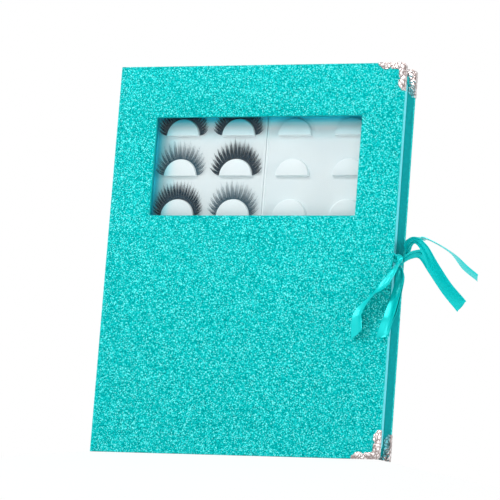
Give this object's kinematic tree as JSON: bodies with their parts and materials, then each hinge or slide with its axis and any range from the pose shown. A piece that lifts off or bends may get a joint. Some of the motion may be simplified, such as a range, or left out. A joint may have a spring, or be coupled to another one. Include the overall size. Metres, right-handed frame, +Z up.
{
  "type": "false eyelash case",
  "caption": "Upright book-shaped case for strip lashes, with a windowed hinged cover, inner box, formed trays with half-moon seats, metal corners and a ribbon bow.",
  "frame": {"origin": "middle of the back cover's bottom edge, in its width and its thickness", "axes": "+Z up, the way the case stands; +X from the spine towards the fore-edge; +Y out of the back cover, so the window faces -Y"},
  "size_m": [0.2479, 0.0318, 0.2506],
  "materials": {
    "glitter": "glitter",
    "lining": "satin",
    "box_paper": "satin",
    "foam": "matte foam",
    "film": "clear",
    "tray": "satin",
    "metal": "embossed silver",
    "ribbon": "satin",
    "lash": "fine fibre"
  },
  "bodies": {
    "case": {"back_cover": "glitter", "back_lining": "lining", "rear_hinge": "glitter", "box_walls": "box_paper", "box_floor": "box_paper", "foam_pad": "foam", "left_tray": "tray", "right_tray": "tray", "back_top_corner": "metal", "back_bottom_corner": "metal", "back_ribbon": "ribbon", "back_bow_loop": "ribbon", "lash_row1_col1": "lash", "lash_row1_col2": "lash", "lash_row2_col1": "lash", "lash_row2_col2": "lash", "lash_row3_col1": "lash", "lash_row3_col2": "lash", "lash_row4_col1": "lash", "lash_row4_col2": "lash", "lash_row5_col1": "lash", "lash_row5_col2": "lash", "lash_row6_col1": "lash", "lash_row6_col2": "lash", "lash_row7_col1": "lash", "lash_row7_col2": "lash", "lash_row8_col1": "lash", "lash_row8_col2": "lash"},
    "spine": {"spine_board": "glitter", "spine_lining": "lining", "front_hinge": "glitter"},
    "front": {"front_cover": "glitter", "front_lining": "lining", "window_film": "film", "front_top_corner": "metal", "front_bottom_corner": "metal", "front_ribbon": "ribbon", "front_bow_loop": "ribbon", "bow_knot": "ribbon"}
  },
  "joints": [
    {"name": "spine_hinge", "type": "hinge", "parent": "case", "child": "spine", "pos_m": [-0.096, -0.00025, 0.125], "axis": [0, 0, -1], "range_deg": [0, 90]},
    {"name": "cover_hinge", "type": "hinge", "parent": "spine", "child": "front", "pos_m": [-0.096, -0.01925, 0.125], "axis": [0, 0, -1], "range_deg": [0, 180]}
  ]
}
